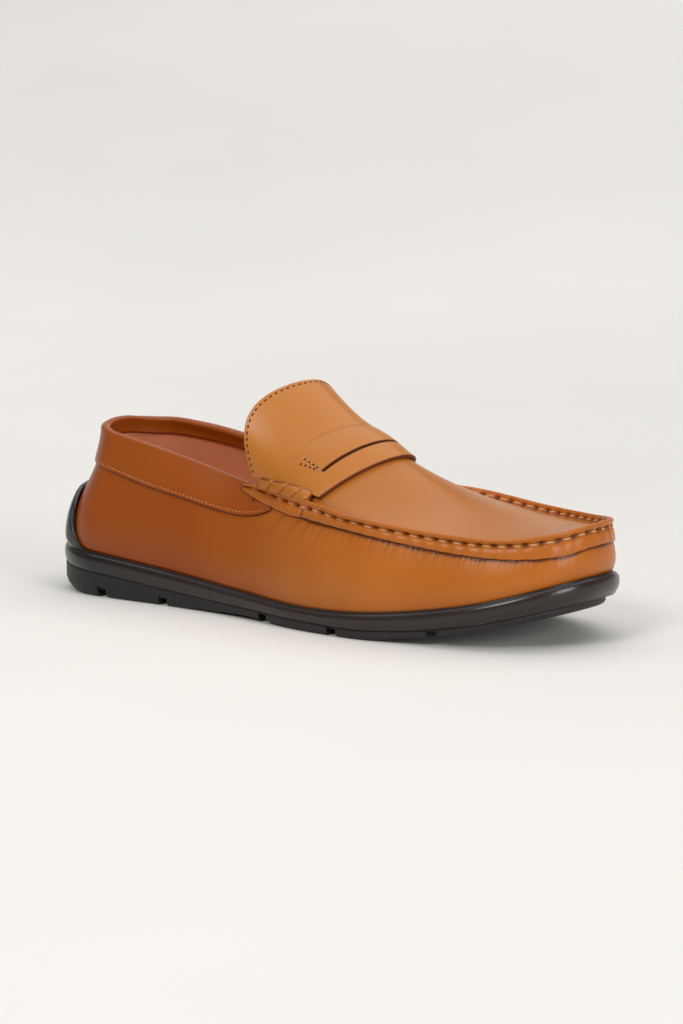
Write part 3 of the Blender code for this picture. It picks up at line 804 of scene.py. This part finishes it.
collarLook = {"columns": 460, "rows": 56, "start": 0.526, "thickness": 0.9, "face": 1.25, "rollWidth": 4.4,
              "rollHeight": 1.6, "inside": 5.5, "padding": 0.5, "rollStart": (0.552, 0.570), "frontDrop": 5.0,
              "threadPitch": 2.2, "threadUp": 1.5, "thread": (1.3, 0.4, 0.32), "paintedSoftShadeAndTone": 0.7}


def collarDrop(a):
    # how far the band's two edges lie below the topline
    low = follow(collarTable, "lowerEdge", a)
    high = collarLook["frontDrop"] * (1 - smooth(*collarLook["rollStart"], a))
    return low, high


def placeCollar(s, t):
    start = collarLook["start"]
    run = start + s * 2 * (1 - start)
    u = np.where(run <= 1.0, run, run - 2.0)
    a = np.abs(u)
    height = wallHeight(u)
    low, high = collarDrop(a)
    rolled = smooth(*collarLook["rollStart"], a)
    outer = np.clip(t / 0.5, 0.0, 1.0)
    turn = np.clip((t - 0.5) / 0.25, 0.0, 1.0)
    inner = np.clip((t - 0.75) / 0.25, 0.0, 1.0)
    drop = np.where(t <= 0.5, low + (high - low) * outer, high + inner * collarLook["inside"] * rolled)
    point, normal, rising = wallFrame(u, 1 - drop / height)
    face = collarLook["face"] - 0.35 * (1 - smooth(0.0, 1.2, low - drop))
    groove = np.exp(-((low - drop - collarLook["threadUp"]) / 0.5) ** 2) * (t <= 0.5)
    back = face - collarLook["rollWidth"] * rolled
    lift = face - 0.18 * groove + (back - face) * (1 - np.cos(np.pi * turn)) / 2
    lift += collarLook["padding"] * np.sin(np.pi * inner) * rolled
    lift += 0.25 * np.sin(np.pi * outer) * rolled
    rise = collarLook["rollHeight"] * np.sin(np.pi * turn) * rolled
    # painted shade along the band's lower edge and inside the roll, and an even darker tone over the whole
    # band
    shade = 0.85 * (1 - smooth(0.0, 0.5, low - drop)) * (t <= 0.5)
    shade = np.maximum(shade, 0.8 * smooth(0.85, 1.0, inner))
    marks = {"paintedShadeAndTone": shade, "paintedSoftShadeAndTone": np.full_like(t, collarLook["paintedSoftShadeAndTone"])}
    return point + normal * lift[:, None] + rising * rise[:, None], marks


collar = finishMesh("collar_band", gridMesh(collarLook, placeCollar),
                    (upperLeather,), ("collar",))
thicken(collar, collarLook["thickness"])


def sewCollar():
    bm = bmesh.new()
    shares = np.linspace(collarLook["start"] + 0.008, 1.0, 1500)
    for side in (-1, 1):
        u = side * shares
        low = collarDrop(shares)[0] - collarLook["threadUp"]
        spot, normal, rising = wallFrame(around(u), 1 - low / wallHeight(u))
        miles = milesAlong(spot)
        for mile in np.arange(1.0, miles[-1], collarLook["threadPitch"]):
            i = int(np.searchsorted(miles, mile))
            along = spot[min(i + 4, len(spot) - 1)] - spot[max(i - 4, 0)]
            onFace = spot[i] + normal[i] * (collarLook["face"] - 0.05)
            addBead(bm, onFace, along, normal[i], collarLook["thread"])
    return finishMesh("collar_thread", bm, (waxedThread,))


sewCollar()

# Saddle strap and tongue facing

saddleLook = {"columns": 150, "rows": 120, "front": 0.471, "gap": 0.5, "thickness": 1.6, "slot": 0.492,
              "slotHalf": 0.0011, "slotSpan": (0.125, 0.875), "reach": 6.8, "slotRow": 30,
              "fold": (0.516, 0.30, 0.62, 0.2, 1.2),    # row, from, to, depth, width
              "edgePitch": 2.9, "edgeIn": 1.8, "edgeHole": (1.7, 0.85, 0.35)}


def saddleShare(t):
    rows = saddleLook["rows"]
    k = saddleLook["slotRow"]
    low = saddleLook["slot"] - saddleLook["slotHalf"]
    high = saddleLook["slot"] + saddleLook["slotHalf"]
    return np.interp(t * rows, (0, k, k + 1, rows), (saddleLook["front"], low, high, form["throat"]))


def saddleSides(u):
    # the saddle's side edges stay a fixed distance from each seam
    shares = np.linspace(0.0, 0.45, 91)
    lateral = np.zeros_like(u)
    medial = np.zeros_like(u)
    for row in np.unique(u):
        here = u == row
        lines = np.full_like(shares, row)
        near = apronPoint(lines, shares)
        far = apronPoint(lines, 1 - shares)
        lateral[here] = np.interp(saddleLook["reach"], np.linalg.norm(near - near[0], axis=-1), shares)
        medial[here] = 1 - np.interp(saddleLook["reach"], np.linalg.norm(far - far[0], axis=-1), shares)
    return lateral, medial


def saddleTop(u, s):
    lateral, medial = saddleSides(u)
    w = lateral + s * (medial - lateral)
    point, normal = apronFrame(u, w)
    return point + normal * (saddleLook["gap"] + saddleLook["thickness"]), normal, w


def placeSaddle(s, t):
    u = saddleShare(t)
    point, normal, w = saddleTop(u, s)
    step = form["step"]
    speed = np.linalg.norm(apronPoint(u + step, w) - apronPoint(u - step, w), axis=-1) / (2 * step)
    fromFront = (u - saddleLook["front"]) * speed
    fromSlot = (np.abs(u - saddleLook["slot"]) - saddleLook["slotHalf"]) * speed
    first, last = saddleLook["slotSpan"]
    inSlot = smooth(first - 0.01, first + 0.01, s) * (1 - smooth(last - 0.01, last + 0.01, s))
    # painted shade along the strap's front edge and the slot's edges, and in the fold
    shade = np.maximum(np.exp(-((fromFront / 0.45) ** 2)), np.exp(-((fromSlot / 0.35) ** 2)) * inSlot)
    row, start, end, depth, width = saddleLook["fold"]
    fold = np.exp(-(((u - row) * speed / width) ** 2)) * smooth(start - 0.08, start + 0.05, w)
    fold *= 1 - smooth(end - 0.05, end + 0.08, w)
    # the strap's cut edges are dark, the tongue's are pale
    marks = {"paintedShadeAndTone": 0.6 * shade + 0.18 * fold, "darkEdge": 1 - smooth(0.515, 0.525, u)}
    return point - normal * (depth * fold)[:, None], marks


def makeSaddle():
    columns = saddleLook["columns"]
    bm = gridMesh(saddleLook, placeSaddle)
    first, last = (round(share * columns) for share in saddleLook["slotSpan"])
    slotFaces = []
    for face in bm.faces:
        row = min(v.index // (columns + 1) for v in face.verts)
        column = min(v.index % (columns + 1) for v in face.verts)
        if row == saddleLook["slotRow"] and first <= column < last:
            slotFaces.append(face)
    bmesh.ops.delete(bm, geom=slotFaces, context="FACES")
    return finishMesh("saddle_strap", bm, (saddleLeather, saddleLeather, cutEdge), ("saddle",))


saddle = makeSaddle()
thicken(saddle, saddleLook["thickness"], 1, 2, 0.35)


def pierceEdge():
    # needle holes inside the tongue's edge
    bm = bmesh.new()
    s = np.linspace(0.01, 0.99, 600)
    rim = np.full_like(s, form["throat"])
    edge = saddleTop(rim, s)[0]
    inside = saddleTop(rim - form["step"], s)[0]
    share = saddleLook["edgeIn"] / np.linalg.norm(edge - inside, axis=-1)
    spot, normal, w = saddleTop(rim - form["step"] * share, s)
    miles = milesAlong(spot)
    for mile in np.arange(1.5, miles[-1], saddleLook["edgePitch"]):
        i = min(int(np.searchsorted(miles, mile)), len(s) - 3)
        addBead(bm, spot[i], spot[i + 2] - spot[i - 2], normal[i], saddleLook["edgeHole"])
    return finishMesh("tongue_edge_holes", bm, (needleHole,))


pierceEdge()

# Bar-tack at each end of the slot: two short rows of stitches that meet in a point

tackLook = {"rows": (((0.4945, 0.014), (0.5125, 0.016)), ((0.4935, 0.022), (0.5125, 0.052))), "stitches": 5,
            "thread": (1.1, 0.5, 0.35), "hole": (1.6, 0.9, 0.4)}


def sewTacks():
    threads = bmesh.new()
    holes = bmesh.new()
    for mirrored in (False, True):
        for (startRow, startAt), (endRow, endAt) in tackLook["rows"]:
            k = np.linspace(0.0, 1.0, 2 * tackLook["stitches"] + 1)
            at = saddleLook["slotSpan"][0] - 0.02 + startAt + k * (endAt - startAt)
            s = 1 - at if mirrored else at
            spot, normal, w = saddleTop(startRow + k * (endRow - startRow), s)
            for i in range(1, len(k) - 1):
                along = spot[i + 1] - spot[i - 1]
                if i % 2:
                    addBead(threads, spot[i] + normal[i] * 0.1, along, normal[i], tackLook["thread"])
                else:
                    addBead(holes, spot[i], along, normal[i], tackLook["hole"])
    finishMesh("tack_thread", threads, (waxedThread,))
    finishMesh("tack_holes", holes, (needleHole,))


sewTacks()

# Wrapped rolls that bind the saddle's ends over the ridge

rollLook = {"span": (0.473, 0.546), "lobes": 4, "columns": 176, "rows": 40, "valley": 1.0, "slant": 0.45,
            "middle": (4.8, 0.6), "front": 0.8, "dash": (0.735, 0.035), "paintedSoftShadeAndTone": 0.2}
# round a bar: distance from the seam up the saddle's side, and height above that side
rollProfile = table(
    ("at", "reach", "rise"),
    (0.00, 2.2, 0.6), (0.10, 1.7, 1.8), (0.22, 2.3, 3.1), (0.36, 3.6, 3.8), (0.50, 5.3, 3.8),
    (0.64, 7.1, 3.3), (0.74, 8.1, 2.5), (0.80, 8.3, 1.4), (1.00, 3.6, 0.3),
)


def makeRoll(name, side):
    def placeRoll(s, t):
        u = side * (rollLook["span"][0] + s * (rollLook["span"][1] - rollLook["span"][0]))
        corner, down, inward, wallNormal, apronNormal = seamFrame(u)
        bar = rollLook["lobes"] * s + rollLook["slant"] * smooth(0.1, 0.75, t) - 0.2
        spot = 2 * np.abs(bar - np.floor(bar) - 0.5)
        lobe = (1 - spot**4) ** 0.5
        ends = np.minimum(1.0, 14.0 * np.minimum(s, 1 - s)) ** 0.5
        inFront = t < rollLook["front"]
        loss = rollLook["valley"] * (1 - lobe * ends) * inFront
        reach = follow(rollProfile, "reach", t)
        rise = follow(rollProfile, "rise", t)
        away = unit(np.stack((reach, rise), axis=-1) - np.array(rollLook["middle"]))
        reach = reach - away[:, 0] * loss
        rise = rise - away[:, 1] * loss
        # painted shade in the valleys between the bars and in dark dashes where the bars meet the saddle, and
        # a slightly darker tone over the bars
        shade = 0.75 * smooth(0.90, 1.0, spot) * inFront
        dashAt, dashHalf = rollLook["dash"]
        dash = np.exp(-(((t - dashAt) / dashHalf) ** 2)) * (spot < 0.7)
        marks = {"paintedShadeAndTone": np.maximum(shade, 0.95 * dash), "paintedSoftShadeAndTone": np.full_like(t, rollLook["paintedSoftShadeAndTone"])}
        return corner + inward * reach[:, None] + apronNormal * rise[:, None], marks

    return finishMesh(name + "_wraps", gridMesh(rollLook, placeRoll),
                      (saddleLeather,), (name,), merge=0.01, closed=True)


makeRoll("beefroll_lateral", -1)
makeRoll("beefroll_medial", 1)

# Insole sock

insoleLook = {"columns": 120, "rows": 24, "inset": 4.6, "thickness": 3.0}


def placeInsole(s, t):
    lateral, medial = (feather(u) - outward(u) * insoleLook["inset"] for u in (-s, s))
    point = lateral + (medial - lateral) * t[:, None]
    point[:, 2] += insoleLook["thickness"]
    return point, {}


insole = finishMesh("insole_sock", gridMesh(insoleLook, placeInsole),
                    (liningLeather,), ("insole",), merge=0.01)
thicken(insole, insoleLook["thickness"] - 0.2)

# Cup sole with its rounded rim and heel tab

cupLook = {"columns": 480, "rows": 44, "lip": 0.9, "lipThickness": 1.6, "tabThickness": 3.6, "tabShare": 0.3,
           "gap": 0.35, "under": 16.0}


def cupSection(u):
    a = np.abs(u)
    tabShare = follow(tabTable, "share", a)
    top = cupLook["lip"] / wallHeight(u) + tabShare
    full = np.minimum(1.0, tabShare / cupLook["tabShare"])
    thickness = cupLook["lipThickness"] + (cupLook["tabThickness"] - cupLook["lipThickness"]) * full
    foot = feather(u)
    out = outward(u)
    rimOut = follow(soleTable, "rimOut", a)

    def onWall(share, lift):
        point, normal, rising = wallFrame(u, share * top)
        return point + normal * np.asarray(lift)[:, None]

    def onRim(outShare, drop):
        point = foot + out * (rimOut * outShare)[:, None]
        rim = follow(lastTable, "rimZ", point[:, 0] / form["length"])
        point[:, 2] -= drop * (point[:, 2] - rim)
        return point

    gap = np.full_like(u, cupLook["gap"])
    toe = 1 - smooth(0.12, 0.32, a)
    under = foot - out * cupLook["under"]
    under[:, 2] = follow(lastTable, "rimZ", under[:, 0] / form["length"])
    return [
        foot + out * cupLook["gap"] - upward * 0.3,
        onWall(0.5, gap),
        onWall(1.0, gap + 0.1),
        onWall(1.03, gap + thickness * 0.35),
        onWall(0.98, gap + thickness * 0.68),
        onWall(0.6, gap + thickness * 0.8),
        onWall(0.2, gap + thickness * 0.95),
        onRim(0.62, 0.0),
        onRim(0.92, 0.16),
        onRim(1.0, 0.46),
        onRim(0.93 - 0.09 * toe, 0.78 - 0.08 * toe),
        onRim(0.74 - 0.30 * toe, 0.97 - 0.03 * toe),
        onRim(0.4 - 0.5 * toe, 1.0),
        under,
        under + upward * 3.0,
    ]


def placeCup(s, t):
    u = 2 * s - 1
    # darker towards the heel
    return loopThrough(cupSection(u), t), {"paintedShadeAndTone": smooth(0.55, 0.8, np.abs(u))}


finishMesh("cup_sole", gridMesh(cupLook, placeCup), (cupRubber,),
           ("sole_cup",), merge=0.01, closed=True)

# Tread layer with grooves

treadLook = {"grooves": (37.5, 73.0, 135.0, 176.5, 225.0), "grooveWidth": 5.0, "grooveDepth": 3.0,
             "roof": 0.9, "wallRun": 0.12, "stations": 110, "endStations": 40, "ends": (16.0, 248.0),
             "rows": 84, "sunk": 0.3,
             "sideShares": (0.08, 0.20)}  # where the side starts and ends round the section
treadPath = table(
    ("at", "inset", "up", "across"),
    (0.00, 6.0, 0.0, 0.0), (0.08, 0.0, 0.0, 0.0), (0.20, 0.0, 1.0, 0.0), (0.24, 0.1, 0.6, 0.0),
    (0.28, 0.3, 0.3, 0.0), (0.32, 0.6, 0.08, 0.0), (0.36, 1.0, 0.0, 0.0), (0.50, 1.0, 0.0, 0.5),
)
rimShares = np.linspace(1.0, 0.0, 2400)


def treadRim(side, q):
    # one edge line of the tread from heel to toe, as x and y
    sideOut = follow(soleTable, "sideOut", rimShares)
    inset = np.interp(q, treadPath["at"], treadPath["inset"])
    if q > treadLook["sideShares"][0]:
        inset = inset * follow(soleTable, "edgeIn", rimShares)
    u = side * rimShares
    point = feather(u) + outward(u) * (sideOut - inset)[:, None]
    x = np.maximum.accumulate(point[:, 0])
    return x, point[:, 1]


def treadStations(low, high):
    first, last = treadLook["ends"]
    turn = np.linspace(0.0, np.pi / 2, treadLook["endStations"])
    stations = list(first + (low - first) * np.cos(turn)) + list(last + (high - last) * np.sin(turn))
    stations += list(np.linspace(first, last, treadLook["stations"]))[1:-1]
    half = treadLook["grooveWidth"] / 2
    run = treadLook["wallRun"] / 2
    for place in treadLook["grooves"]:
        stations += [place + side * half + off for side in (-1, 1) for off in (-run, run)]
    return np.array(sorted(stations))


sideRow = 0.1  # a row half way up the tread's side
sideLine = treadRim(-1, sideRow)[0]
treadEnds = sideLine[[0, -1]]
treadSpots = treadStations(*treadEnds)


def placeTread(s, t):
    station = np.interp(s, np.linspace(0, 1, len(treadSpots)), treadSpots)
    length = form["length"]
    first, last = treadLook["ends"]
    sideStart, sideEnd = treadLook["sideShares"]
    points = np.zeros((len(s), 3))
    for row in np.unique(t):
        here = t == row
        q = min(row, 1 - row)
        lines = [treadRim(side, q) for side in (-1, 1)]
        low = max(line[0][0] for line in lines)
        high = min(line[0][-1] for line in lines)
        x = station[here]
        x = np.where(x < first, low + (x - treadEnds[0]) * (first - low) / (first - treadEnds[0]), x)
        x = np.where(x > last, last + (x - last) * (high - last) / (treadEnds[1] - last), x)
        lateral, medial = (np.interp(x, *line) for line in lines)
        tips = (s[here] < 1e-6) | (s[here] > 1 - 1e-6)
        lateral, medial = (np.where(tips, (lateral + medial) / 2, y) for y in (lateral, medial))
        across = np.interp(q, treadPath["at"], treadPath["across"])
        share = across if row < 0.5 else 1 - across
        points[here, 0] = x
        points[here, 1] = lateral + (medial - lateral) * share
    x = points[:, 0]
    q = np.minimum(t, 1 - t)
    a = np.interp(x, sideLine, rimShares)
    top = follow(lastTable, "rimZ", x / length) - treadLook["sunk"]
    low = np.maximum(0.0, follow(lastTable, "treadZ", x / length))
    for place in treadLook["grooves"]:
        at = np.array(place / length)
        floor = np.maximum(0.0, follow(lastTable, "treadZ", at))
        roof = follow(lastTable, "rimZ", at) - treadLook["sunk"] - treadLook["roof"]
        inGroove = np.abs(x - place) < treadLook["grooveWidth"] / 2
        low = np.where(inGroove, np.maximum(low, min(floor + treadLook["grooveDepth"], roof)), low)
    upShare = np.interp(q, treadPath["at"], treadPath["up"])
    bottom = low + np.where(q > sideStart, upShare * follow(soleTable, "edgeUp", a), 0.0)
    blend = np.where(q <= sideEnd, smooth(sideEnd, sideStart, q), 0.0)
    side = np.minimum(top, np.maximum(low, bottom + (top - bottom) * blend))
    points[:, 2] = np.where(q <= sideStart, top, side)
    # darker towards the heel
    return points, {"paintedShadeAndTone": 1 - smooth(20.0, 150.0, x)}


finishMesh("tread_layer", gridMesh(treadLook | {"columns": len(treadSpots) - 1}, placeTread), (treadRubber,),
           ("outsole",), merge=0.005, sharp=40, closed=True)

# Camera at the photograph's angle, in millimetres and degrees

cameraLook = {"place": (778.4, -1035.4, 240.1), "heading": 36.73, "pitch": 8.62, "lens": 103.7}
camera = addObject("camera", bpy.data.cameras.new("camera"))
camera.location = Vector(cameraLook["place"]) * mm
camera.rotation_euler = (math.radians(90 - cameraLook["pitch"]), 0.0, math.radians(cameraLook["heading"]))
camera.data.lens = cameraLook["lens"]
camera.data.clip_end = 50.0
bpy.context.scene.camera = camera

# Paper sweep that rises behind the shoe, in metres

sweepLook = {"colour": "#DEDCD8", "shade": "#D8D6D2", "segments": 120, "half": 3.0, "start": 0.5,
             "radius": 3.2, "steepest": 0.95}
heading = math.radians(cameraLook["heading"])
awayX, awayY = -math.sin(heading), math.cos(heading)
bm = bmesh.new()
segments = sweepLook["segments"]
bmesh.ops.create_grid(bm, x_segments=segments, y_segments=segments, size=sweepLook["half"])
for vertex in bm.verts:
    past = max(0.0, vertex.co.x * awayX + vertex.co.y * awayY - sweepLook["start"])
    past = min(past, sweepLook["radius"] * sweepLook["steepest"])
    vertex.co.z = sweepLook["radius"] - math.sqrt(sweepLook["radius"] ** 2 - past**2)
sweepMesh = bpy.data.meshes.new("paper_sweep")
bm.to_mesh(sweepMesh)
bm.free()
sweepMesh.shade_smooth()
sweep = addObject("paper_sweep", sweepMesh)
# Pale seamless paper, evenly matt
palePaper = plainFinish("pale paper", sweepLook["colour"], sweepLook["shade"], 0.95, 900.0, 0.0)
sweepMesh.materials.append(palePaper)

# Soft boxes: place, aim, width and power

lightLook = {
    "top": ((0.02, 0.64, 2.2), (0.02, 0.5, 0.0), 3.4, 54.0),
    "front": ((0.2, -3.3, 2.7), (0.0, 0.0, 0.05), 1.4, 70.0),
    "right": ((2.7, -0.7, 0.9), (0.1, 0.0, 0.05), 1.2, 36.0),
}
for name, (place, aim, size, power) in lightLook.items():
    lamp = addObject(name + "_softbox", bpy.data.lights.new(name + "_softbox", "AREA"))
    lamp.location = place
    lamp.rotation_euler = (Vector(aim) - Vector(place)).to_track_quat("-Z", "Y").to_euler()
    lamp.data.size = size
    lamp.data.energy = power
worldLook = {"colour": "#E8E5DF", "strength": 0.32}
world = bpy.data.worlds.new("studio")
scene.world = world
world.use_nodes = True
background = world.node_tree.nodes["Background"]
background.inputs["Color"].default_value = linear(worldLook["colour"])
background.inputs["Strength"].default_value = worldLook["strength"]
scene.view_settings.view_transform = "Standard"
print("stage ready")
